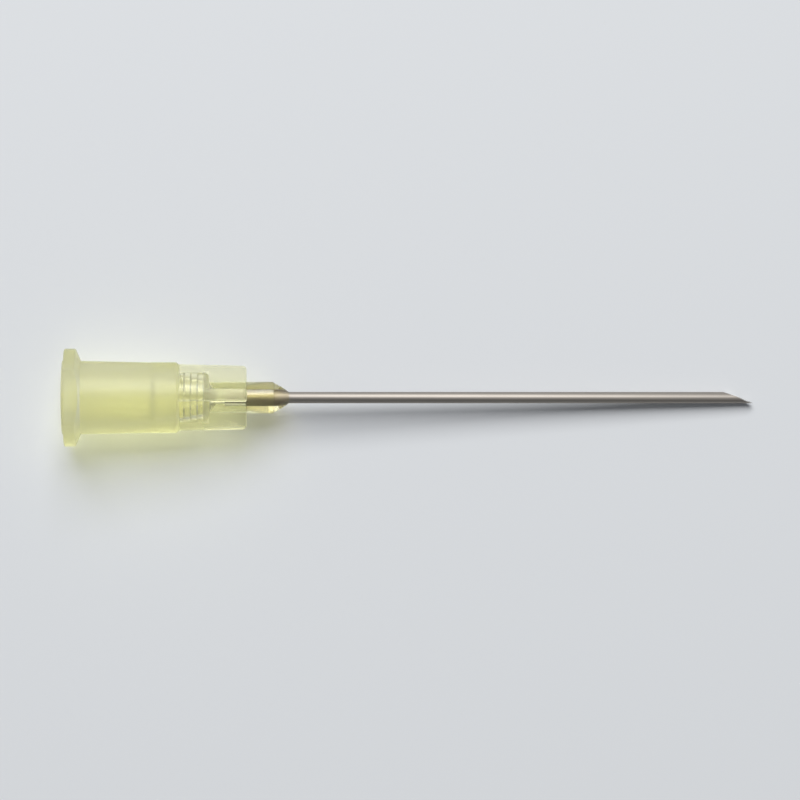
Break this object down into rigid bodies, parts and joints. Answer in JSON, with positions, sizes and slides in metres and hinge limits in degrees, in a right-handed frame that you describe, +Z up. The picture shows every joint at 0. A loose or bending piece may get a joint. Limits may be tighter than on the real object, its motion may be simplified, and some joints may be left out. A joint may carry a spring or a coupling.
{
  "type": "hypodermic needle",
  "caption": "Hypodermic needle lying on its side: a translucent yellow luer-lock hub with fins, holding a glued steel cannula with a bevelled point.",
  "frame": {"origin": "centre of the part's footprint, on the surface that it lies on", "axes": "+X from the hub towards the point, +Y to the side that the bevel faces, +Z up"},
  "size_m": [0.0548, 0.0076, 0.0064],
  "materials": {
    "hub_plastic": "translucent",
    "cannula_steel": "polished",
    "clear_adhesive": "clear"
  },
  "bodies": {
    "root": {"hub": "hub_plastic", "cannula": "cannula_steel", "adhesive": "clear_adhesive"}
  },
  "joints": []
}
